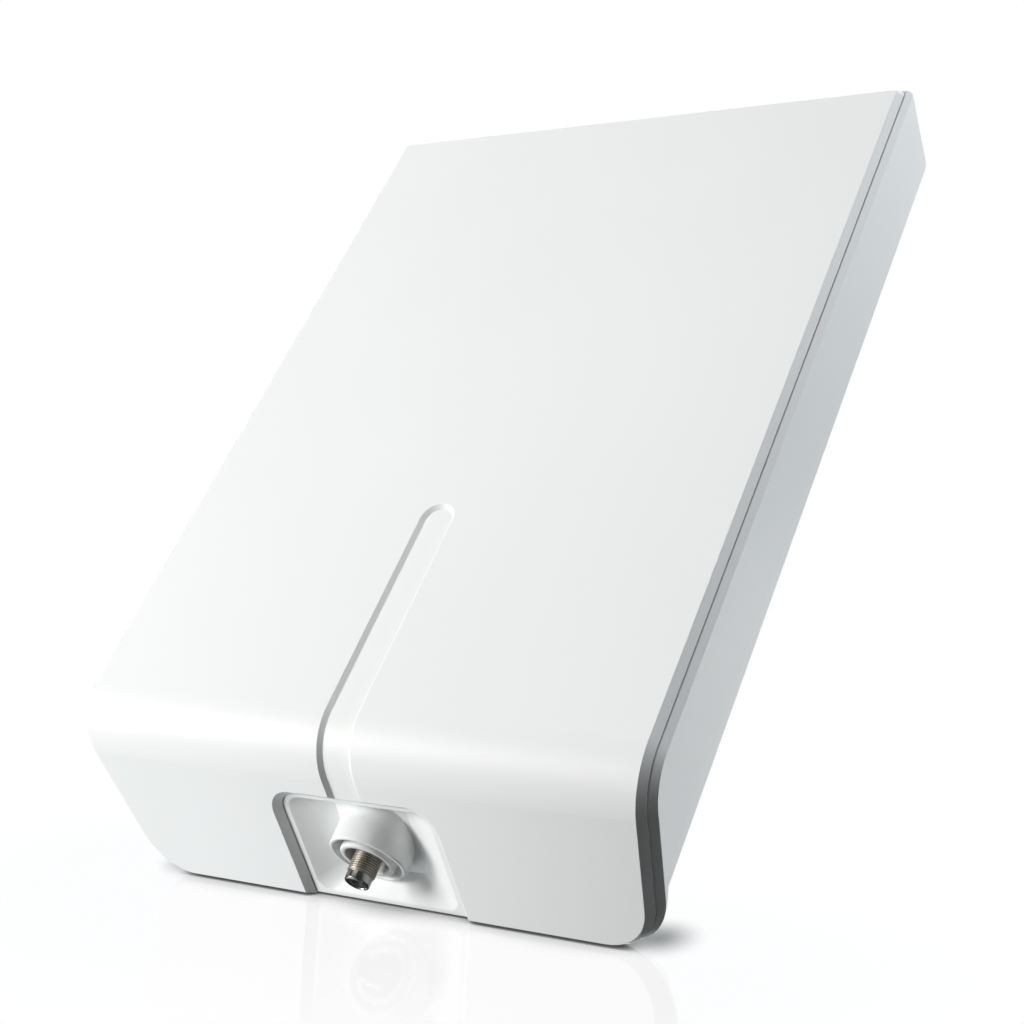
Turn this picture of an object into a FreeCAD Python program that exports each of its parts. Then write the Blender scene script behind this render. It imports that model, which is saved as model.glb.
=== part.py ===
import FreeCAD, Part
import math
import os
from FreeCAD import Placement, Rotation, Vector

# Flat panel outdoor television antenna, all sizes in millimetres and degrees.
# Modelling axes: X to the right, Y from the front face to the back, Z up, with the
# front face at y = 0 and the start of its lower bend at z = 0.  The finished pieces
# are moved so that the origin is the centre of the rear mounting pad.

# Front face, lower bend and the flap that runs back under the housing
face_width = 220.0
face_height = 279.0
bend_radius = 20.7
flap_angle = 20.6
flap_run = 49.7
top_corner = 1.2
flap_corner = 17.8
side_taper = 11.2
top_rise = 10.5

# Covers and the seam between them
front_wall = 2.5
rear_wall = 2.8
edge_bevel = 2.45
shoulder_bevel = 2.2
shoulder = 4.9
rim_land = 1.5
seam_gap = 0.6
skirt_wall = 2.0
skirt_depth = 6.5
seal_width = 2.0
seal_height = 3.0

# Back of the housing: flat back, lower heel and mounting pad
back_depth = 46.5
back_edge_round = 3.0
crown_edge_round = 1.0
heel_top = 50.0
heel_reach = -1.5
heel_lean_back = 0.6
heel_lean_up = 0.45
pad_size = 84.0
pad_height = 121.0
pad_wall = 3.0
pad_corner = 8.0
mount_spacing = 60.0
insert_bore = 5.0
insert_diameter = 7.0
insert_length = 10.0
insert_boss_wall = 2.5

# Shallow slot down the middle of the front, with 45 degree walls
slot_width = 13.5
slot_top = 83.6
slot_depth = 1.4

# Opening in the flap, with 45 degree edges, and the tray behind it
tray_width = 66.6
tray_start = 6.3
tray_corner = 10.0
tray_gap = 0.3
tray_wall = 2.2
tray_border = 2.1
tray_tuck = 4.0
pocket_depth = 9.2
pocket_corner = 5.0
pocket_floor_corner = 3.5
pocket_floor_margin = 1.0
pocket_lip_round = 1.0

# Socket surround: two rings round the socket, standing straight down
socket_depth = 42.2
collar_diameter = 27.0
collar_wall = 1.5
ring_diameter = 19.3
ring_wall = 2.1
ring_drop = 0.4
groove_depth = 6.5
collar_lip_round = 0.6
ring_lip_round = 0.8
socket_seat = 2.5
socket_pocket = 13.5

# Aerial socket with a 3/8 inch thread
thread_diameter = 9.45
root_diameter = 8.85
socket_reach = 8.4
nose_length = 3.0
nose_diameter = 8.7
nose_bevel = 0.7
socket_bore = 7.0
socket_inset = 0.5
contact_diameter = 1.6
contact_inset = 2.5
contact_entry = 1.0
flange_across = 14.0
flange_height = 2.5
neck_diameter = 8.4
neck_height = 4.0
nut_across = 11.0
nut_height = 3.0
washer_diameter = 13.5
washer_height = 0.7
gasket_diameter = 14.0
gasket_height = 0.8

# Cover screws: a top and a middle pair near the sides, a lower pair in the heel
screw_side_inset = 22.0
screw_top_inset = 13.0
screw_middle_inset = 114.0
screw_heel_inset = 44.0
screw_heel_height = 8.0
screw_diameter = 3.5
screw_length = 11.0
screw_head = 7.6
screw_head_height = 2.5
well_diameter = 12.0
well_wall = 1.8
well_floor = 2.5
well_bottom = 16.0
boss_diameter = 8.0

# Reflector sheet behind the elements
reflector_side_gap = 30.0
reflector_top_gap = 15.0
reflector_low = 20.0
reflector_gauge = 1.0
reflector_gap = 2.7
reflector_corner = 6.0
post_diameter = 8.0
post_inset = 10.0
post_low = 66.0
small_screw = 3.0
small_screw_length = 5.0
small_head = 5.6
small_head_height = 1.8

# Two stacked bow-tie elements on insulating carriers, joined by a phasing line
element_drop = {"upper": 61.0, "lower": 161.0}
element_gauge = 0.8
element_depth = 13.0
element_root = 5.0
element_root_height = 14.0
element_tip_height = 74.0
element_band = 9.0
line_inset = 6.0
line_width = 6.0
line_foot = 70.0
rivet_diameter = 3.0
rivet_head = 6.0
rivet_head_height = 0.8
carrier_width = 34.0
carrier_height = 20.0
carrier_wall = 2.4
carrier_foot = 3.0
carrier_foot_margin = 7.0
peg_diameter = 4.0
peg_reach = 1.5

# Amplifier on the reflector
board_width = 64.0
board_low = 24.0
board_high = 76.0
board_gauge = 1.6
spacer_diameter = 6.0
spacer_length = 8.4
spacer_margin = 5.0
shield_width = 48.0
shield_low = 30.0
shield_high = 62.0
shield_height = 10.0
shield_gauge = 0.5
lid_lip = 2.5
lead_diameter = 3.2
lead_top = 36.0

# Clearances
fit_clearance = 0.05
free_clearance = 0.3

# How near a point lies to a plane or line to count as on it
on_it = 0.01

# Derived values of the bent sheet
alpha = math.radians(flap_angle)
taper = math.radians(side_taper)
rise = math.radians(top_rise)
turn = math.pi / 2 - alpha
bend_end = Vector(0, bend_radius * (1 - math.cos(turn)), -bend_radius * math.sin(turn))
flap_end_depth = bend_end.y + flap_run * math.cos(alpha)
seam_far = front_wall + seam_gap
rear_depth = flap_end_depth + shoulder
top_drop = shoulder - edge_bevel
inner_wall = shoulder - rear_wall
screw_side = face_width / 2 - screw_side_inset
screw_rows = [(screw_side, face_height - screw_top_inset), (screw_side, face_height - screw_middle_inset),
              (face_width / 2 - screw_heel_inset, screw_heel_height)]
reflector_width = face_width - 2 * reflector_side_gap
reflector_high = face_height - reflector_top_gap
reflector_posts = [(reflector_width / 2 - post_inset, z) for z in (post_low, reflector_high - post_inset)]
element_heights = {level: face_height - drop for level, drop in element_drop.items()}
element_span = reflector_width / 2
origin = Vector(0, rear_depth, pad_height)
reach = 2 * (face_width + face_height)


def polygon(points):
    """Face bounded by straight lines through the given points."""
    return Part.Face(Part.makePolygon([Vector(*p) for p in points] + [Vector(*points[0])]))


def slab_x(points):
    """Solid of a (y, z) outline carried right across the housing along X."""
    face = polygon([(-reach / 2, y, z) for y, z in points])
    return face.extrude(Vector(reach, 0, 0))


def rod(diameter, start, end):
    """Round bar between two points."""
    axis = end - start
    return Part.makeCylinder(diameter / 2, axis.Length, start, axis)


def tube(outer, inner, start, end):
    """Round pipe between two points."""
    return rod(outer, start, end).cut(rod(inner, start, end))


def hexagon(across, height, base):
    """Six-sided prism standing on `base` along +Z."""
    corner = across / math.sqrt(3)
    ring = [(base.x + corner * math.cos(math.radians(60 * k)),
             base.y + corner * math.sin(math.radians(60 * k)), base.z) for k in range(6)]
    return polygon(ring).extrude(Vector(0, 0, height))


def box(x_range, y_range, z_range):
    """Box between pairs of limits."""
    low = Vector(x_range[0], y_range[0], z_range[0])
    return Part.makeBox(x_range[1] - x_range[0], y_range[1] - y_range[0],
                        z_range[1] - z_range[0], low)


def mirrored(shape):
    """The same shape on the other side of the middle plane."""
    return shape.mirror(Vector(0, 0, 0), Vector(1, 0, 0))


def sheet_line(depth):
    """Points of the bent sheet's section at a depth below its outer surface: top, bend, flap."""
    radius = bend_radius - depth
    top = Vector(0, depth, reach)
    start = Vector(0, depth, 0)
    middle = Vector(0, bend_radius - radius * math.cos(turn / 2), -radius * math.sin(turn / 2))
    end = Vector(0, bend_radius - radius * math.cos(turn), -radius * math.sin(turn))
    foot = end + Vector(0, math.cos(alpha), -math.sin(alpha)) * reach
    return top, start, middle, end, foot


def sheet_layer(near, far):
    """Layer of the bent sheet between two depths, carried right across along X."""
    a = sheet_line(near)
    b = sheet_line(far)
    edges = [Part.LineSegment(a[0], a[1]).toShape(), Part.Arc(a[1], a[2], a[3]).toShape(),
             Part.LineSegment(a[3], a[4]).toShape(), Part.LineSegment(a[4], b[4]).toShape(),
             Part.LineSegment(b[4], b[3]).toShape(), Part.Arc(b[3], b[2], b[1]).toShape(),
             Part.LineSegment(b[1], b[0]).toShape(), Part.LineSegment(b[0], a[0]).toShape()]
    face = Part.Face(Part.Wire(edges))
    face.translate(Vector(-reach / 2, 0, 0))
    return face.extrude(Vector(reach, 0, 0))


def behind_sheet(depth):
    """Everything behind the bent sheet at a depth below its outer surface."""
    top, start, middle, end, foot = sheet_line(depth)
    back = Vector(0, foot.y, reach)
    edges = [Part.LineSegment(top, start).toShape(), Part.Arc(start, middle, end).toShape(),
             Part.LineSegment(end, foot).toShape(), Part.LineSegment(foot, back).toShape(),
             Part.LineSegment(back, top).toShape()]
    face = Part.Face(Part.Wire(edges))
    face.translate(Vector(-reach / 2, 0, 0))
    return face.extrude(Vector(reach, 0, 0))


def sheet_depth(point):
    """Depth of a point below the outer surface of the bent sheet."""
    if point.z >= 0:
        return point.y
    from_centre = Vector(0, point.y - bend_radius, point.z)
    if math.atan2(-from_centre.z, -from_centre.y) < turn:
        return bend_radius - from_centre.Length
    return (point - bend_end).dot(Vector(0, math.sin(alpha), math.cos(alpha)))


def outline_block(offset, rear, drop=top_drop, crown_round=top_corner):
    """Block inside the housing's outline: sides leaning in, top rising, rounded corners."""
    half_front = face_width / 2 + offset / math.cos(taper)
    top_front = face_height + (offset - drop) / math.cos(rise)
    front = -edge_bevel
    low = -face_height

    def prism(back):
        near = half_front - math.tan(taper) * front
        far = half_front - math.tan(taper) * back
        plan = [(-near, front, low), (near, front, low), (far, back, low), (-far, back, low)]
        return polygon(plan).extrude(Vector(0, 0, reach))

    def runs(edge, axis):
        span = edge.Vertexes[1].Point - edge.Vertexes[0].Point
        return abs(span.dot(axis)) > 0.8 * span.Length

    beyond = 2 * rear
    profile = [(front, low), (beyond, low), (beyond, top_front + math.tan(rise) * beyond),
               (front, top_front + math.tan(rise) * front)]
    crowned = prism(beyond).common(slab_x(profile))
    if crown_round > 0:
        crown = [e for e in crowned.Edges if runs(e, Vector(0, 1, 0)) and e.CenterOfMass.z > 0]
        crowned = crowned.makeFillet(crown_round, crown)
    heeled = prism(rear)
    heel = [e for e in heeled.Edges if runs(e, Vector(0, 0, 1)) and e.CenterOfMass.y > rear - on_it]
    return crowned.common(heeled.makeFillet(flap_corner + offset, heel))


def sheet_rim(solid, depth):
    """Edges where a solid's outer face at one sheet depth meets its sides."""
    top, start, middle, end, foot = sheet_line(depth)

    def on_bend_line(edge):
        c = edge.CenterOfMass
        return any(math.hypot(c.y - p.y, c.z - p.z) < on_it for p in (start, end))

    def lies_on_sheet(edge):
        points = edge.discretize(5)
        return all(abs(sheet_depth(p) - depth) < on_it for p in points)

    return [e for e in solid.Edges if lies_on_sheet(e) and not on_bend_line(e)]


def on_flap(shape):
    """Carry a shape from flap axes (x, along the flap, depth below it) into place."""
    shape.Placement = Placement(bend_end, Rotation(Vector(1, 0, 0), -flap_angle))
    return shape


def rounded_plate(half_width, start, end, corners, depth):
    """Wire in flap axes: a rectangle at one depth, its four corners rounded (start, end radii)."""
    r0, r1 = corners
    s = math.sqrt(0.5)

    def arc(cx, cy, radius, ax, ay):
        points = [(cx + radius * ax[0], cy + radius * ax[1]),
                  (cx + radius * s * (ax[0] + ay[0]), cy + radius * s * (ax[1] + ay[1])),
                  (cx + radius * ay[0], cy + radius * ay[1])]
        return [Vector(x, y, depth) for x, y in points]

    left, right, down, up = (-1, 0), (1, 0), (0, -1), (0, 1)
    arcs = [arc(half_width - r0, start + r0, r0, down, right),
            arc(half_width - r1, end - r1, r1, right, up),
            arc(-half_width + r1, end - r1, r1, up, left),
            arc(-half_width + r0, start + r0, r0, left, down)]
    edges = []
    for here, after in zip(arcs, arcs[1:] + arcs[:1]):
        edges.append(Part.Arc(*here).toShape())
        edges.append(Part.LineSegment(here[2], after[0]).toShape())
    return Part.Wire(edges)


def tray_cut(near, far):
    """Tool of the flap's opening between two depths: 45 degree edges, open at the rear."""
    wires = [rounded_plate(tray_width / 2 - d, tray_start + d, 2 * flap_run,
                           (tray_corner - d, tray_corner), d) for d in (near, far)]
    return on_flap(Part.makeLoft(wires, True, True))


def tray_prism(offset, near, far):
    """Straight block round the opening's inner edge between two flap depths, open at the rear."""
    grow = offset - front_wall
    wire = rounded_plate(tray_width / 2 + grow, tray_start - grow, 2 * flap_run,
                         (tray_corner + grow, tray_corner), near)
    return on_flap(Part.Face(wire).extrude(Vector(0, 0, far - near)))


def pocket_form(grow):
    """Hopper of the tray from its border down to the floor under the collar, grown by a wall."""
    side = tray_width / 2 - front_wall - tray_border + grow
    start = tray_start + front_wall + tray_border - grow
    half = collar_diameter / 2 + pocket_floor_margin + grow
    mouth = rounded_plate(side, start, flap_run + grow, (pocket_corner + grow,) * 2, tray_step)
    floor = rounded_plate(half, floor_centre - half, floor_centre + half,
                          (pocket_floor_corner + grow,) * 2, pocket_depth + grow)
    return on_flap(Part.makeLoft([mouth, floor], True, True))


def soft_mouth(tray):
    """The tray with the hopper's mouth rounded over."""
    half = tray_width / 2 - front_wall - tray_border
    start = tray_start + front_wall + tray_border
    along = Vector(0, math.cos(alpha), -math.sin(alpha))

    def on_mouth(edge):
        points = edge.discretize(5)
        runs = [(p - bend_end).dot(along) for p in points]
        level = all(abs(sheet_depth(p) - tray_step) < on_it and abs(p.x) < half + on_it for p in points)
        return level and min(runs) > start - on_it and max(runs) < flap_run + on_it

    return tray.makeFillet(pocket_lip_round, [e for e in tray.Edges if on_mouth(e)])


def soft_rim(shape, height, radius):
    """A ring on the socket's axis with its rim at one height rounded over."""
    return shape.makeFillet(radius, [e for e in shape.Edges if abs(e.CenterOfMass.z - height) < on_it])


def slot_tool(grow, near, far):
    """Tool of the slot between two sheet depths: upright run, round top, bend and flap run."""
    near_half = slot_width / 2 - near + grow
    far_half = slot_width / 2 - far + grow
    section = [(-near_half, near, 0), (near_half, near, 0), (far_half, far, 0), (-far_half, far, 0)]
    centre = slot_top - slot_width / 2
    upright = polygon(section).extrude(Vector(0, 0, centre))
    crown = Part.makeCone(near_half, far_half, far - near, Vector(0, near, centre), Vector(0, 1, 0))
    bend = polygon(section).revolve(Vector(0, bend_radius, 0), Vector(1, 0, 0), 90 - flap_angle)
    run = on_flap(polygon([(x, 0, d) for x, d, z in section]).extrude(Vector(0, flap_run, 0)))
    return upright.fuse([crown, bend, run])


def socket_point(height):
    """Point on the socket's axis."""
    return Vector(0, socket_depth, height)


# Heights along the socket's axis, and where it crosses the tray's floor along the flap
flap_height = bend_end.z - (socket_depth - bend_end.y) * math.tan(alpha)
collar_rim = flap_height
ring_rim = collar_rim - ring_drop
seat_low = ring_rim + socket_pocket
seat_high = seat_low + socket_seat
socket_tip = ring_rim - socket_reach
flange_low = seat_high + gasket_height
flange_high = flange_low + flange_height
neck_top = flange_high + neck_height
tray_step = front_wall + tray_gap
floor_centre = (socket_depth - bend_end.y) / math.cos(alpha) - pocket_depth * math.tan(alpha)

# Planes across the housing
back_inner = back_depth - rear_wall
reflector_back = back_inner - reflector_gap
reflector_front = reflector_back - reflector_gauge
board_back = reflector_front - spacer_length
board_front = board_back - board_gauge
line_back = element_depth + 2 * element_gauge


def screw_sites():
    """Cover screw positions on both sides."""
    return [Vector(side * x, 0, z) for x, z in screw_rows for side in (-1, 1)]


def pair_sites(rows):
    """Mirrored positions of a list of (half spacing, height)."""
    return [Vector(side * x, 0, z) for x, z in rows for side in (-1, 1)]


def mount_sites():
    """Insert positions of the square mounting pattern."""
    half = mount_spacing / 2
    return [Vector(i * half, 0, pad_height + k * half) for i in (-1, 1) for k in (-1, 1)]


def at_depth(site, depth):
    """A site moved to a depth behind the front face."""
    return Vector(site.x, depth, site.z)


def seal_field(inset):
    """Field inside the rear cover's walls and outside its tray, drawn in by an inset."""
    field = outline_block(inner_wall - inset, rear_depth - rear_wall - inset)
    return field.cut(tray_prism(tray_tuck + inset, -reach / 4, reach / 4))


def make_front_cover():
    """Bent front shell with bevelled edge, slot, tray opening, skirt and screw bosses."""
    outline = outline_block(edge_bevel, flap_end_depth + edge_bevel, 0, top_corner + edge_bevel)
    plate = sheet_layer(0, front_wall).common(outline)
    plate = plate.makeChamfer(edge_bevel, sheet_rim(plate, 0))
    ring = seal_field(seal_width).cut(seal_field(seal_width + skirt_wall))
    skirt = sheet_layer(front_wall, front_wall + skirt_depth).common(ring)
    backing = slot_tool(front_wall + slot_depth, front_wall, front_wall + slot_depth)
    backing = backing.common(seal_field(seal_width))
    bosses = [rod(boss_diameter, at_depth(s, front_wall), at_depth(s, well_bottom)) for s in screw_sites()]
    pilots = [rod(screw_diameter + 2 * fit_clearance, at_depth(s, well_bottom - screw_length),
                  at_depth(s, well_bottom)) for s in screw_sites()]
    cover = plate.fuse([skirt, backing] + bosses)
    cover = cover.cut([slot_tool(0, -slot_depth, slot_depth),
                       tray_cut(-front_wall, front_wall + slot_depth + free_clearance)] + pilots)
    return cover.removeSplitter()


def make_cover_seal():
    """Rubber ring between the front cover's skirt and the rear cover's walls."""
    ring = seal_field(0).cut(seal_field(seal_width))
    return sheet_layer(front_wall, front_wall + seal_height).common(ring).removeSplitter()


def heel_form(inset):
    """Lower heel behind the flat back: sloping top, sides drawn in towards the top."""
    back = back_depth - inset
    top = heel_top - inset * math.tan(math.pi / 8)
    far = reach / 4
    profile = [(-far, -far), (far, -far), (far, top - (far - back)), (back, top), (-far, top)]
    form = outline_block(shoulder - inset, rear_depth - inset).common(slab_x(profile))
    normal = Vector(1, heel_lean_back, heel_lean_up)
    edge = face_width / 2 + heel_reach - inset * normal.Length

    def on_side(y, z):
        return (edge - heel_lean_back * (y - back_depth) - heel_lean_up * (z - flap_height), y, z)

    side = polygon([on_side(y, z) for y, z in ((-far, -far), (far, -far), (far, far), (-far, far))])
    side = side.extrude(normal * far)
    return form.cut([side, mirrored(side)])


def rounded_pad(half, near, far, corner):
    """Square pad on the back with rounded corners."""
    block = box((-half, half), (near, far), (pad_height - half, pad_height + half))
    upright = [e for e in block.Edges if abs(e.Vertexes[1].Y - e.Vertexes[0].Y) > (far - near) / 2]
    return block.makeFillet(corner, upright)


def main_form(inset):
    """Body of the rear tub from the seam to its flat back."""
    back = back_depth - inset
    far = reach / 4
    body = slab_x([(-far, -far), (back, -far), (back, 2 * far), (-far, 2 * far)])
    return outline_block(shoulder - inset, 2 * rear_depth, crown_round=0).common(body)


def rear_shell():
    """Rear tub before its fittings: outer body and the room inside it."""
    main = main_form(0)
    edges = [e for e in main.Edges
             if all(abs(p.y - back_depth) < on_it for p in e.discretize(3))
             and e.CenterOfMass.z > -face_height / 4]
    main = main.makeFillet(back_edge_round, edges)
    rim_layer = sheet_layer(seam_far, seam_far + shoulder_bevel + rim_land)
    band = rim_layer.common(outline_block(shoulder, rear_depth, crown_round=0))
    body = main.fuse(heel_form(0)).cut(rim_layer)
    outer = body.fuse(band).removeSplitter().common(behind_sheet(seam_far))
    rim = [e for e in sheet_rim(outer, seam_far) if e.CenterOfMass.z < face_height]
    outer = outer.makeChamfer(shoulder_bevel, rim)
    crown = [e for e in outer.Edges if e.CenterOfMass.z > face_height and e.Length > back_depth / 2
             and abs(e.CenterOfMass.x) > face_width / 3]
    outer = outer.makeFillet(crown_edge_round, crown)
    seal_room = sheet_layer(front_wall, front_wall + seal_height)
    seal_room = seal_room.common(outline_block(inner_wall, rear_depth - rear_wall))
    return outer, main_form(rear_wall).fuse([heel_form(rear_wall), seal_room])


def make_rear_cover():
    """Rear tub with tray, socket surround, screw wells, reflector posts and mounting pad."""
    outer, inner = rear_shell()
    pad = rounded_pad(pad_size / 2, back_inner, rear_depth, pad_corner)
    pad_core = rounded_pad(pad_size / 2 - pad_wall, back_inner - rear_wall, rear_depth - pad_wall,
                           pad_corner - pad_wall)
    shell = outer.fuse(pad).cut([inner, pad_core])

    tray_room = outline_block(edge_bevel, flap_end_depth + edge_bevel)
    tray = tray_prism(tray_tuck, tray_step, tray_step + tray_wall).fuse(pocket_form(tray_wall))
    tray = soft_mouth(tray.common(tray_room).cut(pocket_form(0)))
    ring = tube(ring_diameter, ring_diameter - 2 * ring_wall, socket_point(ring_rim), socket_point(seat_low))
    ring = soft_rim(ring, ring_rim, ring_lip_round)
    collar = tube(collar_diameter, collar_diameter - 2 * collar_wall, socket_point(collar_rim),
                  socket_point(collar_rim + groove_depth))
    collar = soft_rim(collar, collar_rim, collar_lip_round)
    root = rod(collar_diameter, socket_point(collar_rim + groove_depth), socket_point(seat_high))
    bore = rod(ring_diameter - 2 * ring_wall, socket_point(ring_rim), socket_point(seat_low))
    hole = rod(thread_diameter + 2 * free_clearance, socket_point(seat_low), socket_point(seat_high))

    wells = [rod(well_diameter, at_depth(s, well_bottom), at_depth(s, rear_depth)) for s in screw_sites()]
    wells = [w.common(outer) for w in wells]
    sinks = [rod(well_diameter - 2 * well_wall, at_depth(s, well_bottom + well_floor),
                 at_depth(s, rear_depth)) for s in screw_sites()]
    passes = [rod(screw_diameter + 2 * free_clearance, at_depth(s, well_bottom),
                  at_depth(s, rear_depth)) for s in screw_sites()]
    posts = [rod(post_diameter, at_depth(s, reflector_back), at_depth(s, back_depth - rear_wall / 2))
             for s in pair_sites(reflector_posts)]
    post_holes = [rod(small_screw + 2 * fit_clearance, at_depth(s, reflector_back),
                      at_depth(s, reflector_back + small_screw_length)) for s in pair_sites(reflector_posts)]
    insert_boss = insert_diameter + 2 * insert_boss_wall
    bosses = [rod(insert_boss, at_depth(s, rear_depth - insert_length - insert_boss_wall),
                  at_depth(s, rear_depth - pad_wall / 2)) for s in mount_sites()]
    insert_holes = [rod(insert_diameter + 2 * fit_clearance, at_depth(s, rear_depth - insert_length),
                        at_depth(s, rear_depth)) for s in mount_sites()]

    cover = shell.cut(pocket_form(0)).fuse([tray])
    cover = cover.fuse([ring, collar, root])
    cover = cover.cut([bore, hole])
    cover = cover.fuse(wells + posts + bosses)
    cover = cover.cut(sinks + passes + post_holes + insert_holes)
    return cover.removeSplitter()


def make_cover_screws():
    """Pan-headed screws in the wells, one solid per screw."""
    seat = well_bottom + well_floor
    screws = []
    for site in screw_sites():
        head = rod(screw_head, at_depth(site, seat), at_depth(site, seat + screw_head_height))
        tip = well_bottom - screw_length + well_floor
        shank = rod(screw_diameter, at_depth(site, tip), at_depth(site, seat))
        recess = (seat + screw_head_height / 2, seat + screw_head_height)
        blade = [box((site.x - a / 2, site.x + a / 2), recess, (site.z - b / 2, site.z + b / 2))
                 for a, b in ((screw_head / 2, 1.0), (1.0, screw_head / 2))]
        screws.append(head.fuse(shank).cut(blade))
    return Part.makeCompound(screws)


def make_mount_inserts():
    """Threaded brass inserts of the mounting pattern."""
    return Part.makeCompound([tube(insert_diameter, insert_bore, at_depth(s, rear_depth - insert_length),
                                   at_depth(s, rear_depth)) for s in mount_sites()])


def make_connector_body():
    """Socket body: threaded barrel with smooth nose, hexagon flange and neck."""
    nose_start = socket_tip + nose_length
    nut_low = seat_low - washer_height - nut_height
    barrel = rod(thread_diameter, socket_point(nose_start), socket_point(nut_low))
    plain = rod(root_diameter, socket_point(nut_low), socket_point(flange_low))
    nose = rod(nose_diameter, socket_point(socket_tip), socket_point(nose_start))
    tip = [e for e in nose.Edges if abs(e.CenterOfMass.z - socket_tip) < on_it and len(e.Vertexes) == 1]
    nose = nose.makeFillet(nose_bevel, tip)
    flange = hexagon(flange_across, flange_height, socket_point(flange_low))
    neck = rod(neck_diameter, socket_point(flange_high), socket_point(neck_top))
    bore = rod(socket_bore, socket_point(socket_tip), socket_point(neck_top))
    return nose.fuse([barrel, plain, flange, neck]).cut(bore).removeSplitter()


def make_connector_insulator():
    """Plastic core of the socket, with the entry for the plug's pin."""
    low = socket_tip + socket_inset
    core = rod(socket_bore - 2 * fit_clearance, socket_point(low), socket_point(neck_top))
    entry = Part.makeCone(contact_entry + contact_diameter / 2, contact_diameter / 2, contact_entry,
                          socket_point(low))
    bore = rod(contact_diameter + 2 * fit_clearance, socket_point(low), socket_point(neck_top))
    return core.cut([bore, entry])


def make_connector_contact():
    """Centre contact with a blind hole for the plug's pin."""
    low = socket_tip + socket_inset + contact_inset
    pin = rod(contact_diameter, socket_point(low), socket_point(neck_top))
    return pin.cut(rod(contact_diameter / 2, socket_point(low), socket_point(low + socket_pocket / 2)))


def make_connector_ring(across, low, high):
    """Washer round the socket's thread."""
    return tube(across, root_diameter + 2 * fit_clearance, socket_point(low), socket_point(high))


def make_connector_nut():
    """Hexagon nut on the socket's thread, outside the seat."""
    low = seat_low - washer_height - nut_height
    nut = hexagon(nut_across, nut_height, socket_point(low))
    return nut.cut(rod(root_diameter + 2 * fit_clearance, socket_point(low), socket_point(low + nut_height)))


def make_reflector():
    """Flat sheet with clearance holes for its screws, the carriers' pegs and the board's spacers."""
    half = reflector_width / 2
    sheet = box((-half, half), (reflector_front, reflector_back), (reflector_low, reflector_high))
    corners = [e for e in sheet.Edges if abs(e.Vertexes[1].Y - e.Vertexes[0].Y) > reflector_gauge / 2]
    sheet = sheet.makeFillet(reflector_corner, corners)
    holes = [rod(small_screw + 2 * fit_clearance, at_depth(s, reflector_front), at_depth(s, reflector_back))
             for s in pair_sites(reflector_posts) + board_sites()]
    peg_hole = peg_diameter + 2 * fit_clearance
    holes += [rod(peg_hole, at_depth(s, reflector_front), at_depth(s, reflector_back))
              for height in element_heights.values() for s in peg_sites(height)]
    return sheet.cut(holes)


def peg_sites(height):
    """Peg positions of one carrier."""
    half = (carrier_width + carrier_foot_margin) / 2
    return [Vector(side * half, 0, height) for side in (-1, 1)]


def board_sites():
    """Spacer positions of the amplifier board."""
    x = board_width / 2 - spacer_margin
    heights = (board_low + spacer_margin, board_high - spacer_margin)
    return [Vector(side * x, 0, z) for z in heights for side in (-1, 1)]


def small_screws(sites, seat):
    """Small pan-headed screws with their heads against a front face."""
    return Part.makeCompound([
        rod(small_head, at_depth(s, seat - small_head_height), at_depth(s, seat)).fuse(
            rod(small_screw, at_depth(s, seat), at_depth(s, seat + small_screw_length))) for s in sites])


def make_carrier(height):
    """Insulating post between the reflector and one pair of elements, with feet and pegs."""
    half = carrier_width / 2
    foot_half = half + carrier_foot_margin
    z_range = (height - carrier_height / 2, height + carrier_height / 2)
    post = box((-half, half), (line_back, reflector_front), z_range)
    core = box((-half + carrier_wall, half - carrier_wall), (line_back + carrier_wall, reflector_front),
               (z_range[0] + carrier_wall, z_range[1] - carrier_wall))
    foot = box((-foot_half, foot_half), (reflector_front - carrier_foot, reflector_front), z_range)
    pegs = [rod(peg_diameter, at_depth(s, reflector_front - carrier_foot),
                at_depth(s, reflector_back + peg_reach)) for s in peg_sites(height)]
    rivet_hole = rivet_diameter + 2 * fit_clearance
    holes = [rod(rivet_hole, at_depth(s, line_back), at_depth(s, line_back + carrier_wall))
             for s in rivet_sites(height)]
    return post.fuse([foot] + pegs).cut([core] + holes).removeSplitter()


def rivet_sites(height):
    """Rivet positions where the elements meet the phasing line."""
    x = line_inset + line_width / 2
    return [Vector(side * x, 0, height) for side in (-1, 1)]


def make_element(height):
    """Right-hand half of a bow-tie: a flared band of sheet with an open middle."""
    def flare(inset, start, end):
        def half(x):
            share = (x - element_root) / (element_span - element_root)
            return (element_root_height + share * (element_tip_height - element_root_height)) / 2 - inset
        rim = [(start, -half(start)), (end, -half(end)), (end, half(end)), (start, half(start))]
        return polygon([(x, element_depth, height + z) for x, z in rim])

    depth = Vector(0, element_gauge, 0)
    outer = flare(0, element_root, element_span).extrude(depth)
    window = flare(element_band, element_root + 3 * element_band, element_span - element_band).extrude(depth)
    site = rivet_sites(height)[1]
    hole = rod(rivet_diameter + 2 * fit_clearance, at_depth(site, element_depth),
               at_depth(site, element_depth + element_gauge))
    return outer.cut([window, hole])


def make_phasing_line():
    """Right-hand strip joining both elements, folded back to the amplifier board."""
    x_range = (line_inset, line_inset + line_width)
    near = element_depth + element_gauge
    strip = box(x_range, (near, line_back), (line_foot, element_heights["upper"] + line_width))
    fold = box(x_range, (near, board_front), (line_foot, line_foot + element_gauge))
    holes = [rod(rivet_diameter + 2 * fit_clearance, at_depth(rivet_sites(h)[1], near),
                 at_depth(rivet_sites(h)[1], line_back)) for h in element_heights.values()]
    return strip.fuse(fold).cut(holes).removeSplitter()


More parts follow.
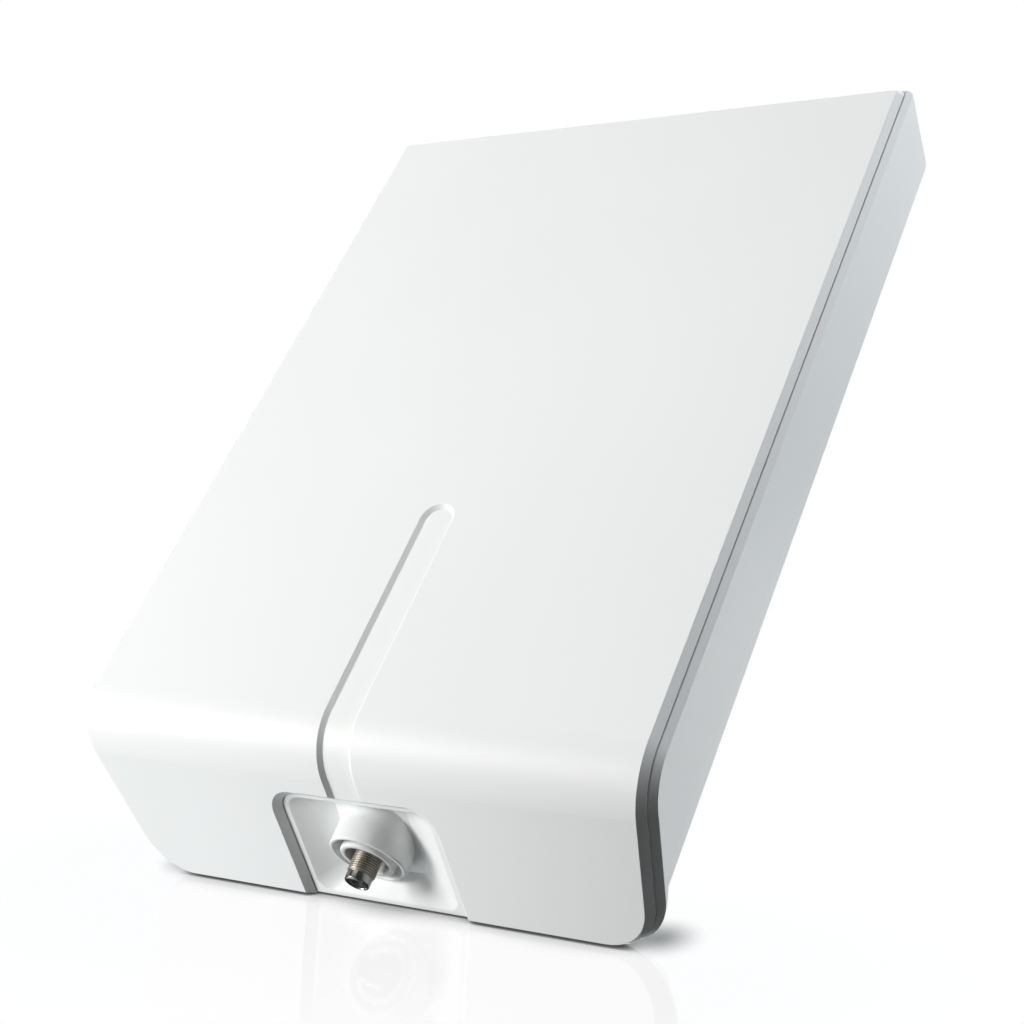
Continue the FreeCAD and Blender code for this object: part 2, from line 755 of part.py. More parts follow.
def make_rivets():
    """Rivets through element, phasing line and carrier."""
    rivets = []
    for height in element_heights.values():
        for site in rivet_sites(height):
            front = at_depth(site, element_depth)
            back = at_depth(site, line_back + carrier_wall)
            head = rod(rivet_head, at_depth(site, element_depth - rivet_head_height), front)
            shank = rod(rivet_diameter, front, back)
            tail = rod(rivet_head, back, at_depth(site, line_back + carrier_wall + rivet_head_height))
            rivets.append(head.fuse([shank, tail]))
    return Part.makeCompound(rivets)


def make_board():
    """Amplifier board with holes over its spacers."""
    half = board_width / 2
    plate = box((-half, half), (board_front, board_back), (board_low, board_high))
    return plate.cut([rod(small_screw + 2 * fit_clearance, at_depth(s, board_front), at_depth(s, board_back))
                      for s in board_sites()])


def make_spacers():
    """Threaded spacers riveted into the reflector."""
    spacers = []
    for site in board_sites():
        body = rod(spacer_diameter, at_depth(site, board_back), at_depth(site, reflector_front))
        stud = rod(small_screw, at_depth(site, reflector_front), at_depth(site, reflector_back + peg_reach))
        hole = rod(small_screw + 2 * fit_clearance, at_depth(site, board_back),
                   at_depth(site, board_front + small_screw_length + fit_clearance))
        spacers.append(body.fuse(stud).cut(hole))
    return Part.makeCompound(spacers)


def shield_box(grow, near, far):
    """Block of the screening can, grown outwards."""
    half = shield_width / 2 + grow
    return box((-half, half), (near, far), (shield_low - grow, shield_high + grow))


def make_shield_frame():
    """Wall of the screening can, standing on the board."""
    near = board_front - shield_height
    return shield_box(0, near, board_front).cut(shield_box(-shield_gauge, near, board_front))


def make_shield_lid():
    """Lid of the screening can with a lip outside its wall."""
    near = board_front - shield_height
    lid = shield_box(shield_gauge, near - shield_gauge, near + lid_lip)
    return lid.cut(shield_box(fit_clearance, near, near + lid_lip))


def make_board_components():
    """Parts soldered inside the screening can, one solid each, placed by shares of the can."""
    middle = (shield_low + shield_high) / 2
    tall = shield_high - shield_low
    chip = shield_width / 7
    filters = [(side * shield_width / 4, middle + tall / 6, chip, shield_height / 3) for side in (-1, 1)]
    coils = [(side * shield_width / 4, middle - tall / 4, chip / 2, shield_height / 4) for side in (-1, 1)]
    parts = [(0, middle, chip, shield_height / 6), (0, middle - tall / 3, chip / 2, shield_height / 8)]
    cans = [box((x - w / 2, x + w / 2), (board_front - d, board_front), (z - w / 2, z + w / 2))
            for x, z, w, d in parts + filters + coils]
    return Part.makeCompound(cans)


def make_socket_lead():
    """Coaxial lead from the socket up behind the board: two equal bends joined by straight runs."""
    behind = board_back + lead_diameter / 2
    offset = socket_depth - behind
    start = neck_top
    turn_radius = offset
    first = Vector(0, socket_depth, start + lead_diameter)
    centre_a = first + Vector(0, -turn_radius, 0)
    bent = math.acos(1 - offset / (2 * turn_radius))

    def on_a(angle):
        return centre_a + Vector(0, turn_radius * math.cos(angle), turn_radius * math.sin(angle))

    middle = on_a(bent)
    centre_b = middle + (middle - centre_a)

    def on_b(angle):
        return centre_b - Vector(0, turn_radius * math.cos(angle), turn_radius * math.sin(angle))

    last = on_b(0)
    top = Vector(0, behind, lead_top)
    path = Part.Wire([Part.LineSegment(socket_point(start), first).toShape(),
                      Part.Arc(first, on_a(bent / 2), middle).toShape(),
                      Part.Arc(middle, on_b(bent / 2), last).toShape(),
                      Part.LineSegment(last, top).toShape()])
    ring = Part.Wire(Part.makeCircle(lead_diameter / 2, socket_point(start), Vector(0, 0, 1)))
    return path.makePipeShell([ring], True, False)


def export(name, shape):
    """Move a piece to the mounting origin and write it."""
    piece = shape.copy()
    piece.translate(origin * -1)
    piece.exportStep("parts/" + name + ".step")


def build():
    """All pieces of the antenna by node name."""
    nodes = {
        "front_cover": make_front_cover(),
        "rear_cover": make_rear_cover(),
        "cover_seal": make_cover_seal(),
        "cover_screws": make_cover_screws(),
        "mount_inserts": make_mount_inserts(),
        "connector_body": make_connector_body(),
        "connector_insulator": make_connector_insulator(),
        "connector_contact": make_connector_contact(),
        "connector_gasket": make_connector_ring(gasket_diameter, seat_high, flange_low),
        "connector_washer": make_connector_ring(washer_diameter, seat_low - washer_height, seat_low),
        "connector_nut": make_connector_nut(),
        "reflector_plate": make_reflector(),
        "reflector_screws": small_screws(pair_sites(reflector_posts), reflector_front),
        "element_rivets": make_rivets(),
        "amplifier_board": make_board(),
        "board_spacers": make_spacers(),
        "board_screws": small_screws(board_sites(), board_front),
        "shield_frame": make_shield_frame(),
        "shield_lid": make_shield_lid(),
        "board_components": make_board_components(),
        "socket_lead": make_socket_lead(),
        "phasing_line_right": make_phasing_line(),
        "phasing_line_left": mirrored(make_phasing_line()),
    }
    for level, height in element_heights.items():
        nodes["carrier_" + level] = make_carrier(height)
        nodes["element_" + level + "_right"] = make_element(height)
        nodes["element_" + level + "_left"] = mirrored(make_element(height))
    return nodes


if __name__ == "__main__":
    os.makedirs("parts", exist_ok=True)
    for node, solid in build().items():
        export(node, solid)
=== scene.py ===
import bpy
import numpy as np
from mathutils import Matrix, Vector


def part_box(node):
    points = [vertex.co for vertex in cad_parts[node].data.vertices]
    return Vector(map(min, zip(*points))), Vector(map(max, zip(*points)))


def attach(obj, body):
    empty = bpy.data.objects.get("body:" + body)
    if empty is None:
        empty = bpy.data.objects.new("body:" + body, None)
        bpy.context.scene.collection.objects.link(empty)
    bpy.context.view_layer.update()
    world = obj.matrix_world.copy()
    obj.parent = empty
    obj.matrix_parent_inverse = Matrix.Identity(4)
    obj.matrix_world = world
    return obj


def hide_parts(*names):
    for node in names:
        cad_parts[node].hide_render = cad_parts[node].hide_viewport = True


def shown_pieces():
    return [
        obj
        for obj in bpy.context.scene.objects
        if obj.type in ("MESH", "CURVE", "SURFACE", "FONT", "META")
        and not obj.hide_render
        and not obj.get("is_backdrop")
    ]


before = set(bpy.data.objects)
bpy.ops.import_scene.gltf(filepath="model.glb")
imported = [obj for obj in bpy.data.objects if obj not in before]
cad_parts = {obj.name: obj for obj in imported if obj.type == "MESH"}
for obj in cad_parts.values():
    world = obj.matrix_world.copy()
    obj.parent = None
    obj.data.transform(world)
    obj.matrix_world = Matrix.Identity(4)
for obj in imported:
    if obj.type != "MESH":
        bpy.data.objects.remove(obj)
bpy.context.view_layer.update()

MM = 0.001

# Aerial socket, in mm: radii from its axis, heights and lengths from its tip upwards
socket_low, socket_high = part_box("connector_body")
socket_x = (socket_low.x + socket_high.x) / 2
socket_y = (socket_low.y + socket_high.y) / 2
socket_top = (socket_high.z - socket_low.z) / MM
bore_radius = 3.5
bore_chamfer = 0.12
nose_radius = 4.35
nose_round = 0.7
nose_length = 3.0
nose_step = 0.15
thread_crest = 4.725
thread_depth = 0.42
thread_pitch = 25.4 / 32
thread_top = 18.2
thread_end_step = 0.05
thread_rows = 190
groove_level = 1.36
flank_slope = 3.44
run_out_length = 0.9
lead_in_length = 0.7
lead_in_depth = 0.30
crest_margin = 0.06
plain_radius = 4.425
flange_low = 25.2
flange_high = 27.7
flange_across = 14.0
neck_radius = 4.2
edge_band = 0.02


class Field:
    """A shader socket that takes part in Python arithmetic; each operator adds one Math node."""

    def __init__(self, finish, socket):
        self.finish = finish
        self.socket = socket

    def _math(self, operation, first, second):
        return self.finish.node("ShaderNodeMath", {"operation": operation}, {0: first, 1: second})

    def __add__(self, other):
        return self._math("ADD", self, other)

    def __radd__(self, other):
        return self._math("ADD", other, self)

    def __sub__(self, other):
        return self._math("SUBTRACT", self, other)

    def __rsub__(self, other):
        return self._math("SUBTRACT", other, self)

    def __mul__(self, other):
        return self._math("MULTIPLY", self, other)

    def __rmul__(self, other):
        return self._math("MULTIPLY", other, self)

    def __pow__(self, other):
        return self._math("POWER", self, other)


class Finish:
    """The nodes of a new material or of a given tree; shader() ends a material."""

    def __init__(self, name, tree=None):
        if tree is None:
            self.material = bpy.data.materials.new(name)
            self.material.use_nodes = True
            tree = self.material.node_tree
        self.tree = tree
        self.tree.nodes.clear()

    def node(self, kind, settings=None, sockets=None, out=0):
        """Add a node: its settings first, then the values or links of its sockets."""
        made = self.tree.nodes.new(kind)
        for name, value in (settings or {}).items():
            setattr(made, name, value)
        for name, value in (sockets or {}).items():
            if isinstance(value, Field):
                self.tree.links.new(value.socket, made.inputs[name])
            else:
                made.inputs[name].default_value = value
        return Field(self, made.outputs[out]) if len(made.outputs) else made

    def place(self, scale=(1.0, 1.0, 1.0)):
        """Object coordinates, stretched."""
        spot = self.node("ShaderNodeTexCoord", out="Object")
        return self.node("ShaderNodeMapping", None, {"Vector": spot, "Scale": scale})

    def noise(self, scale, detail=3.0, rough=0.55, stretch=(1.0, 1.0, 1.0)):
        """Fractal noise from 0 to 1, with `scale` cells to the metre."""
        return self.node("ShaderNodeTexNoise", None,
                         {"Vector": self.place(stretch), "Scale": scale,
                          "Detail": detail, "Roughness": rough})

    def span(self, value, low, high):
        """Value carried smoothly from low..high to 0..1."""
        return self.node("ShaderNodeMapRange", {"interpolation_type": "SMOOTHSTEP"},
                         {"Value": value, "From Min": low, "From Max": high})

    def blend(self, share, first, second):
        """Two colours mixed by a share from 0 to 1."""
        return self.node("ShaderNodeMix", {"data_type": "RGBA"},
                         {0: share, 6: first, 7: second}, out=2)

    def relief(self, height, depth, normal=None):
        """A surface normal tilted by a height field, `depth` metres from lowest to highest."""
        links = {"Strength": 1.0, "Distance": depth, "Height": height}
        if normal is not None:
            links["Normal"] = normal
        return self.node("ShaderNodeBump", None, links)

    def soft_edges(self, radius):
        """The surface normal, rounded over where two faces meet."""
        return self.node("ShaderNodeBevel", {"samples": 6}, {"Radius": radius})

    def shader(self, **sockets):
        """End the material with a Principled shader; words in names are joined by _."""
        values = {name.replace("_", " "): value for name, value in sockets.items()}
        surface = self.node("ShaderNodeBsdfPrincipled", None, values)
        self.node("ShaderNodeOutputMaterial", None, {"Surface": surface})
        return self.material


def grey(level, warmth=0.0):
    """A near-neutral colour; warmth above 0 leans to yellow, below 0 to blue."""
    return (level * (1 + warmth), level, level * (1 - warmth), 1.0)


def housing_finish():
    """Satin white weatherproof plastic: a fine spark-eroded grain and very faint clouding."""
    finish = Finish("satin_white_plastic")
    cloud = finish.noise(scale=9.0, detail=2.0)
    grain = finish.noise(scale=2600.0, detail=2.0, rough=0.5)
    flow = finish.noise(scale=60.0, stretch=(1.0, 1.0, 0.25))
    colour = finish.blend(finish.span(cloud, 0.3, 0.7),
                          (0.856, 0.872, 0.866, 1.0), (0.868, 0.884, 0.877, 1.0))
    normal = finish.relief(grain, 0.004 * MM, finish.soft_edges(0.35 * MM))
    return finish.shader(Base_Color=colour, Roughness=0.42 + 0.08 * grain + 0.03 * flow,
                         Normal=normal, Specular_IOR_Level=0.36)


def rubber_finish():
    """Black weather seal: dull rubber with a faint bloom and a pebbled skin."""
    finish = Finish("black_seal_rubber")
    bloom = finish.noise(scale=90.0, detail=4.0)
    pebble = finish.noise(scale=3000.0, detail=2.0)
    colour = finish.blend(finish.span(bloom, 0.35, 0.75), grey(0.012), grey(0.028))
    return finish.shader(Base_Color=colour, Roughness=0.62 + 0.2 * bloom,
                         Normal=finish.relief(pebble, 0.02 * MM))


def plated_finish(name, dark, light, rough, brush=(1.0, 1.0, 1.0)):
    """Plated or bare metal: brushed streaks along one axis, and handling marks in the gloss."""
    finish = Finish(name)
    streak = finish.noise(scale=900.0, stretch=brush)
    stain = finish.noise(scale=120.0, detail=4.0)
    colour = finish.blend(finish.span(stain, 0.3, 0.7), dark, light)
    return finish.shader(Base_Color=colour, Metallic=1.0,
                         Roughness=rough + 0.12 * streak + 0.08 * stain,
                         Normal=finish.relief(streak, 0.004 * MM))


def nickel_finish():
    """Nickel plate on the socket: a dull film down the thread, grooves painted darker as shade, and
    the nose painted dark as a dark reflection.
    """
    finish = Finish("nickel_plate")
    spot = finish.node("ShaderNodeTexCoord", out="Object")
    x, y, z = (finish.node("ShaderNodeSeparateXYZ", None, {"Vector": spot}, out=axis)
               for axis in "XYZ")
    out_from_axis = ((x - socket_x) ** 2.0 + (y - socket_y) ** 2.0) ** 0.5
    crest = finish.span(out_from_axis, (thread_crest - thread_depth) * MM,
                        (thread_crest - crest_margin) * MM)
    nose = finish.span(z, socket_low.z + (nose_length + nose_step) * MM,
                       socket_low.z + (nose_length - nose_step) * MM)
    ring = finish.noise(scale=5200.0, detail=2.0, stretch=(0.04, 0.04, 1.0))
    film = finish.noise(scale=420.0, detail=4.0)
    plate = finish.blend(film, (0.47, 0.43, 0.37, 1.0), (0.57, 0.53, 0.47, 1.0))
    # Painted shade: the thread grooves are coloured darker than the crests.
    thread = finish.blend(crest, (0.24, 0.21, 0.17, 1.0), plate)
    # Painted dark reflection: the nose is coloured darker than the plate.
    colour = finish.blend(nose, thread, (0.26, 0.25, 0.24, 1.0))
    return finish.shader(Base_Color=colour, Metallic=1.0,
                         Roughness=0.30 + 0.12 * film - 0.14 * nose,
                         Normal=finish.relief(ring, 0.003 * MM))


def insulator_finish():
    """Dark moulded insulator with a faint swirl."""
    finish = Finish("socket_insulator")
    swirl = finish.noise(scale=700.0, detail=4.0)
    colour = finish.blend(finish.span(swirl, 0.3, 0.7), grey(0.018, 0.04), grey(0.045, 0.04))
    return finish.shader(Base_Color=colour, Roughness=0.28 + 0.2 * swirl,
                         Normal=finish.relief(swirl, 0.01 * MM))


def carrier_finish():
    """Natural grey carrier plastic with flow lines from the mould gate."""
    finish = Finish("carrier_plastic")
    flow = finish.noise(scale=80.0, detail=5.0, stretch=(0.3, 1.0, 1.0))
    grain = finish.noise(scale=2200.0, detail=2.0)
    colour = finish.blend(finish.span(flow, 0.3, 0.7), grey(0.30, 0.03), grey(0.38, 0.03))
    return finish.shader(Base_Color=colour, Roughness=0.42 + 0.14 * grain,
                         Normal=finish.relief(grain, 0.01 * MM))


def board_finish():
    """Green solder mask over copper: straight conductors at one pitch, kept by broad patches."""
    finish = Finish("green_circuit_board")
    lanes = finish.node("ShaderNodeTexWave",
                        {"wave_type": "BANDS", "bands_direction": "DIAGONAL"},
                        {"Vector": finish.place(), "Scale": 130.0, "Distortion": 0.0})
    patch = finish.node("ShaderNodeTexVoronoi", {"distance": "MANHATTAN"},
                        {"Vector": finish.place(), "Scale": 90.0}, out="Distance")
    copper = finish.span(lanes, 0.46, 0.54) * finish.span(patch, 0.40, 0.46)
    colour = finish.blend(copper, (0.008, 0.085, 0.030, 1.0), (0.030, 0.185, 0.070, 1.0))
    return finish.shader(Base_Color=colour, Roughness=0.30 + 0.08 * copper,
                         Normal=finish.relief(copper, 0.035 * MM), Coat_Weight=0.3)


def chip_finish():
    """Black epoxy bodies with a ground grain."""
    finish = Finish("chip_epoxy")
    grain = finish.noise(scale=3200.0, detail=2.0)
    colour = finish.blend(grain, grey(0.014), grey(0.034))
    return finish.shader(Base_Color=colour, Roughness=0.45 + 0.2 * grain,
                         Normal=finish.relief(grain, 0.012 * MM))


def lead_finish():
    """Black cable jacket, extruded, with fine draw lines along it."""
    finish = Finish("lead_jacket")
    draw = finish.noise(scale=1600.0, stretch=(1.0, 1.0, 0.05))
    colour = finish.blend(draw, grey(0.016), grey(0.034))
    return finish.shader(Base_Color=colour, Roughness=0.36 + 0.16 * draw,
                         Normal=finish.relief(draw, 0.015 * MM))


finishes = {
    "housing": housing_finish(),
    "seal": rubber_finish(),
    "steel": plated_finish("zinc_plated_steel", grey(0.52, 0.02), grey(0.66, 0.02), rough=0.26),
    "brass": plated_finish("bare_brass", (0.56, 0.38, 0.14, 1.0), (0.72, 0.52, 0.22, 1.0),
                           rough=0.24),
    "nickel": nickel_finish(),
    "insulator": insulator_finish(),
    "sheet": plated_finish("rolled_aluminium", grey(0.66, -0.01), grey(0.78, -0.01), rough=0.28,
                           brush=(0.05, 1.0, 1.0)),
    "carrier": carrier_finish(),
    "board": board_finish(),
    "chips": chip_finish(),
    "tinplate": plated_finish("bright_tinplate", grey(0.58, 0.01), grey(0.72, 0.01), rough=0.22,
                              brush=(1.0, 1.0, 0.06)),
    "lead": lead_finish(),
}

finished_nodes = {
    "housing": ("front_cover", "rear_cover"),
    "seal": ("cover_seal", "connector_gasket"),
    "steel": ("cover_screws", "reflector_screws", "board_screws", "connector_washer"),
    "brass": ("mount_inserts", "connector_contact", "board_spacers"),
    "nickel": ("connector_body", "connector_nut"),
    "insulator": ("connector_insulator",),
    "sheet": ("reflector_plate", "element_upper_right", "element_upper_left",
              "element_lower_right", "element_lower_left", "phasing_line_right",
              "phasing_line_left", "element_rivets"),
    "carrier": ("carrier_upper", "carrier_lower"),
    "board": ("amplifier_board",),
    "chips": ("board_components",),
    "tinplate": ("shield_frame", "shield_lid"),
    "lead": ("socket_lead",),
}
for finish_name, nodes in finished_nodes.items():
    for node in nodes:
        slots = bpy.data.objects[node].data.materials
        slots.clear()
        slots.append(finishes[finish_name])


def ease(value):
    """Smooth step from 0 to 1: 3t^2 - 2t^3 of the value held between 0 and 1."""
    held = np.clip(value, 0.0, 1.0)
    return held * held * (3.0 - 2.0 * held)


def ring_mesh(name, points, material):
    """A closed mesh from a grid of points that wraps round both ways; faces turned outwards."""
    rows, columns = points.shape[:2]
    index = np.arange(rows * columns).reshape(rows, columns)
    right = np.roll(index, -1, axis=1)
    below = np.roll(index, -1, axis=0)
    quads = np.stack([index, right, np.roll(right, -1, axis=0), below], axis=-1).reshape(-1, 4)
    flat = points.reshape(-1, 3)
    corner = flat[quads]
    normal = np.cross(corner[:, 2] - corner[:, 0], corner[:, 3] - corner[:, 1])
    if np.einsum("ij,ij->", normal, corner.mean(axis=1) - flat.mean(axis=0)) < 0:
        quads = quads[:, ::-1]
    mesh = bpy.data.meshes.new(name)
    mesh.from_pydata(flat.tolist(), [], quads.tolist())
    mesh.polygons.foreach_set("use_smooth", np.ones(len(quads), dtype=bool))
    mesh.materials.append(material)
    mesh.validate()
    made = bpy.data.objects.new(name, mesh)
    bpy.context.collection.objects.link(made)
    return made


def barrel_outline():
    """The socket body's closed section as (radius, height, thread share, hexagon share) rows.

    It goes out over the tip, up the nose, the thread, the plain shank, the flange and the neck,
    and back down the bore. A second row one edge band from each sharp edge keeps it crisp.
    """
    arc = np.linspace(0.0, np.pi / 2, 7)
    nose = np.stack([nose_radius - nose_round * (1 - np.sin(arc)),
                     nose_round * (1 - np.cos(arc))], 1)
    turns = np.linspace(nose_length + nose_step, thread_top - thread_end_step, thread_rows)
    flat_radius = flange_across / 2
    rows = [(bore_radius, bore_chamfer, 0, 0), (bore_radius + bore_chamfer, 0.0, 0, 0)]
    rows += [(radius, height, 0, 0) for radius, height in nose]
    rows += [(nose_radius, nose_length - edge_band, 0, 0), (nose_radius, nose_length, 0, 0)]
    rows += [(thread_crest, height, 1, 0) for height in turns]
    rows += [(plain_radius, thread_top, 0, 0), (plain_radius, flange_low - edge_band, 0, 0)]
    rows += [(plain_radius, flange_low, 0, 0), (flat_radius, flange_low, 0, 1)]
    rows += [(flat_radius, flange_low + edge_band, 0, 1)]
    rows += [(flat_radius, flange_high - edge_band, 0, 1), (flat_radius, flange_high, 0, 1)]
    rows += [(neck_radius, flange_high, 0, 0)]
    rows += [(neck_radius, flange_high + edge_band, 0, 0), (neck_radius, socket_top, 0, 0)]
    rows += [(bore_radius, socket_top, 0, 0), (bore_radius, socket_top - edge_band, 0, 0)]
    return np.array(rows, dtype=float)


def socket_surface(columns=120):
    """The socket body as a grid of section row against angle round the axis.

    On thread rows the radius drops from the crest by the depth times a trapezoid wave of
    height / pitch minus angle / turn, so the groove climbs one pitch each turn; it fades in and
    out at both ends, where the crest also leads in below the full radius. On hexagon rows the
    radius is the half width over flats divided by the cosine of the angle from the nearest
    flat's middle.
    """
    section = barrel_outline()
    angle = np.linspace(0.0, 2 * np.pi, columns, endpoint=False)[None, :]
    radius, height, threaded, six = (section[:, i][:, None] for i in range(4))
    phase = np.mod(height / thread_pitch - angle / (2 * np.pi), 1.0)
    groove = np.clip(groove_level - flank_slope * np.abs(phase - 0.5), 0.0, 1.0)
    run_in = ease((height - nose_length) / run_out_length)
    run_out = ease((thread_top - height) / run_out_length)
    lead_in = lead_in_depth * ease(1 - (height - nose_length) / lead_in_length)
    cut = threaded * (thread_depth * groove * run_in * run_out + lead_in)
    facet = np.mod(angle + np.pi / 6, np.pi / 3) - np.pi / 6
    across = np.where(six > 0.5, radius / np.cos(facet), radius - cut) * MM
    return np.stack([socket_x + across * np.cos(angle),
                     socket_y + across * np.sin(angle),
                     socket_low.z + height * MM + np.zeros_like(angle)], axis=-1)


aerial_socket = ring_mesh("aerial_socket_body", socket_surface(), finishes["nickel"])
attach(aerial_socket, "root")
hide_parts("connector_body")

# Table the object leans on, in metres; its place is given along the bottom edge and nearer than it
floor_up = Vector((0.0, -0.78, 0.62)).normalized()
floor_along = Vector((1.0, 0.0, 0.0))
floor_near = floor_along.cross(floor_up)
edge_middle = Vector((0.0, 0.0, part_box("rear_cover")[0].z))
floor_gap = 0.0002
table_half = 0.24
table_front = 0.14
# The table's colour carries a painted contact shadow: darker where an occlusion test within
# contact_reach finds the object, mapped from contact_dark to contact_light.
contact_reach = 0.034
contact_dark = 0.08
contact_light = 0.50
mirror_share = 0.10
# Painted shadow patches under the object's lower corners: their place, size and darkness, in
# metres.
corner_along = 0.0945
corner_near = -0.008
corner_radius = 0.016
corner_dark = 0.78


def lowest_along(direction):
    """The smallest distance along a direction that any shown point of the object has."""
    best = []
    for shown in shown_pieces():
        points = np.empty(len(shown.data.vertices) * 3)
        shown.data.vertices.foreach_get("co", points)
        best.append((points.reshape(-1, 3) @ np.array(direction)).min())
    return min(best)


def floor_finish():
    """Pale table top that glows white, with a faint mirror.

    A painted contact shadow darkens it where the object closes it in, and painted shadow
    patches lie under its lower corners; it fades out to the white surround and has no underside.
    """
    finish = Finish("pale_table")
    cloud = finish.noise(scale=30.0)
    open_sky = finish.node("ShaderNodeAmbientOcclusion", {"samples": 24},
                           {"Distance": contact_reach}, out="AO")
    shade = finish.node("ShaderNodeAttribute", {"attribute_name": "shade"}, out="Fac")
    # Painted shadow: the glowing colour is darkened where the object is near and under the painted
    # corner patches.
    light = finish.span(open_sky, contact_dark, contact_light) * (1.0 - shade)
    colour = finish.blend(light, grey(0.03), finish.blend(cloud, grey(0.995), grey(1.0)))
    glow = finish.node("ShaderNodeEmission", None, {"Color": colour, "Strength": 1.0})
    gloss = finish.node("ShaderNodeBsdfGlossy", None, {"Color": grey(1.0), "Roughness": 0.06})
    surface = finish.node("ShaderNodeMixShader", None, {0: mirror_share, 1: glow, 2: gloss})
    clear = finish.node("ShaderNodeBsdfTransparent")
    fade = finish.node("ShaderNodeAttribute", {"attribute_name": "fade"}, out="Fac")
    under = finish.node("ShaderNodeNewGeometry", out="Backfacing")
    hidden = 1.0 - (1.0 - fade) * (1.0 - under)
    shown = finish.node("ShaderNodeMixShader", None, {0: hidden, 1: surface, 2: clear})
    finish.node("ShaderNodeOutputMaterial", None, {"Surface": shown})
    return finish.material


def table_top(half_edge=0.095, solid=0.030, reach=0.125, behind=0.060, columns=193, rows=101):
    """A flat grid in the plane the object leans on: distance along its edge by distance nearer.

    The fade of a point is the smooth step of its distance from the bottom edge's line, from 0
    within `solid` metres of the line to 1 at `reach` metres. Its shade is a painted shadow: a
    soft round patch under each overhanging lower corner, one minus the smooth step of
    distance / radius.
    """
    across, near = np.meshgrid(np.linspace(-table_half, table_half, columns),
                               np.linspace(-behind, table_front, rows), indexing="xy")
    height = lowest_along(floor_up) - floor_gap
    rest = edge_middle + floor_up * (height - edge_middle.dot(floor_up))
    points = (np.array(rest) + across[..., None] * np.array(floor_along)
              + near[..., None] * np.array(floor_near))
    beyond = np.maximum(np.abs(across) - half_edge, 0.0)
    distance = np.hypot(beyond, np.where(near < 0, near * reach / behind, near))
    fade = ease((distance - solid) / (reach - solid))
    # Painted shadow: a soft round patch under each lower corner.
    from_corner = np.hypot(np.abs(across) - corner_along, near - corner_near)
    shade = corner_dark * (1 - ease(from_corner / corner_radius))
    index = np.arange(rows * columns).reshape(rows, columns)
    quads = np.stack([index[:-1, :-1], index[1:, :-1], index[1:, 1:], index[:-1, 1:]], axis=-1)
    mesh = bpy.data.meshes.new("table_top")
    mesh.from_pydata(points.reshape(-1, 3).tolist(), [], quads.reshape(-1, 4).tolist())
    for name, values in (("fade", fade), ("shade", shade)):
        mesh.attributes.new(name, "FLOAT", "POINT").data.foreach_set("value", values.ravel())
    mesh.materials.append(floor_finish())
    made = bpy.data.objects.new("table_top", mesh)
    made.visible_diffuse = False
    made.visible_glossy = False
    made.visible_shadow = False
    bpy.context.collection.objects.link(made)
    return made


table_top()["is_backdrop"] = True

light_middle = Vector((0.0, -0.03, 0.0))
white_light = (1.0, 0.993, 0.985)
cool_light = (0.935, 0.968, 1.0)


def hang(name, light, middle, toward, distance):
    """Place a light `distance` metres from a point in the given direction, turned to the point."""
    lamp = bpy.data.objects.new(name, light)
    way = Vector(toward).normalized()
    lamp.location = middle + way * distance
    lamp.rotation_euler = way.to_track_quat("Z", "Y").to_euler()
    bpy.context.collection.objects.link(lamp)


def softbox(name, toward, distance, width, watts, colour):
    """A square soft light round the object's middle."""
    light = bpy.data.lights.new(name, "AREA")
    light.shape = "SQUARE"
    light.size = width
    light.energy = watts
    light.color = colour
    hang(name, light, light_middle, toward, distance)


def bay_fill(toward=(0.40, 0.05, -0.92), distance=0.6, watts=4.0, reach=0.060, softness=0.10):
    """A small soft spot that opens up the shaded walls of the socket bay and fades out round it."""
    light = bpy.data.lights.new("bay_fill", "SPOT")
    light.energy = watts
    light.spot_size = 2 * np.arctan(reach / distance)
    light.spot_blend = 1.0
    light.shadow_soft_size = softness
    hang("bay_fill", light, Vector((socket_x, socket_y, socket_low.z + 10 * MM)), toward, distance)


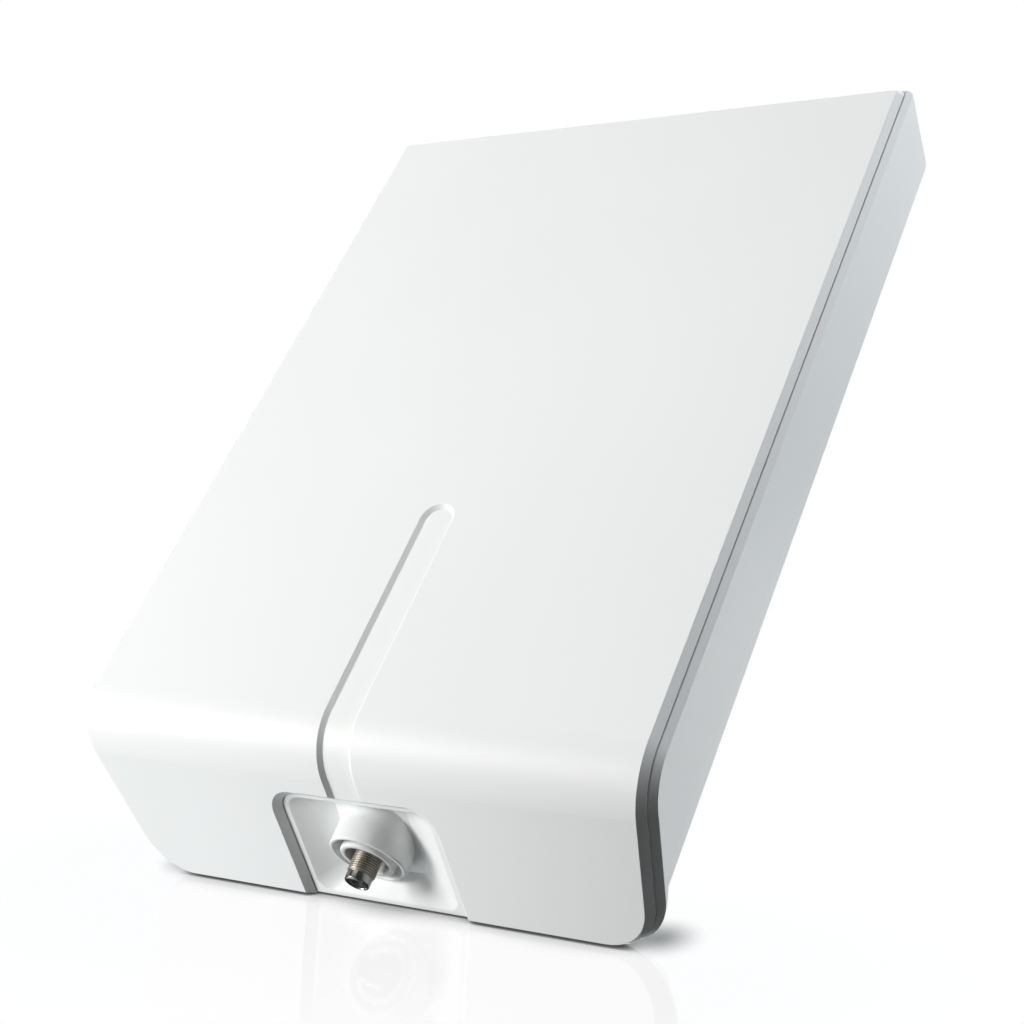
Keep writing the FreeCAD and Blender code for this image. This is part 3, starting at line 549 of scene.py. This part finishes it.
for lamp_name, toward, distance, width, watts, colour in (
        ("left_softbox", (-0.63, -0.65, -0.42), 1.3, 0.5, 15.0, white_light),
        ("front_left_softbox", (-0.215, -0.769, -0.622), 1.3, 0.9, 2.0, white_light),
        ("low_left_softbox", (-0.55, 0.15, -0.82), 0.75, 0.4, 1.4, cool_light),
        ("upper_left_softbox", (-0.25, -0.80, 0.45), 1.3, 0.9, 5.0, white_light),
        ("upper_right_softbox", (0.64, -0.32, 0.70), 1.3, 0.9, 8.6, cool_light),
        ("right_rim_softbox", (0.75, 0.30, 0.60), 1.2, 0.7, 5.0, cool_light),
        ("top_softbox", (0.35, 0.25, 0.90), 1.2, 0.7, 3.4, cool_light),
        ("back_softbox", (-0.10, 0.95, 0.25), 1.4, 1.0, 10.0, white_light)):
    softbox(lamp_name, toward, distance, width, watts, colour)
bay_fill()

# Surround: white behind the object; in gloss alone a dim room with a bright backdrop
surround_gloss = 0.10
backdrop_gloss = 1.0
backdrop_way = (-0.49, 0.26, 0.83)
backdrop_edge = (0.55, 0.85)
room_tint = (0.80, 0.94, 1.0, 1.0)

world = bpy.data.worlds.new("white_surround")
world.use_nodes = True
bpy.context.scene.world = world
sky = Finish("white_surround", world.node_tree)
ray_way = sky.node("ShaderNodeTexCoord", out="Generated")
facing = sky.node("ShaderNodeVectorMath", {"operation": "DOT_PRODUCT"},
                  {0: ray_way, 1: backdrop_way}, out="Value")
backdrop = sky.span(facing, *backdrop_edge)
glossy = sky.node("ShaderNodeLightPath", out="Is Glossy Ray")
seen = sky.node("ShaderNodeLightPath", out="Is Camera Ray")
room = glossy * (surround_gloss + (backdrop_gloss - surround_gloss) * backdrop)
strength = room + (1.0 - room) * seen
tint = sky.blend(seen, room_tint, grey(1.0))
surround = sky.node("ShaderNodeBackground", None, {"Color": tint, "Strength": strength})
sky.node("ShaderNodeOutputWorld", None, {"Surface": surround})

# Camera at the photograph's place and viewing angle, in metres and mm of lens
camera_place = Vector((0.35981, -0.45710, -0.35156))
sight = Vector((-0.5512, 0.6537, 0.5185)).normalized()
rightward = Vector((0.8341, 0.4177, 0.3601))
rightward = (rightward - sight * rightward.dot(sight)).normalized()
upward = rightward.cross(sight)

lens = bpy.data.cameras.new("photo_camera")
lens.sensor_width = 36.0
lens.lens = 64.1
lens.clip_start = 0.02
camera = bpy.data.objects.new("photo_camera", lens)
pose = Matrix((rightward, upward, -sight)).transposed().to_4x4()
pose.translation = camera_place
camera.matrix_world = pose
bpy.context.collection.objects.link(camera)
bpy.context.scene.camera = camera
bpy.context.scene.view_settings.view_transform = "Standard"
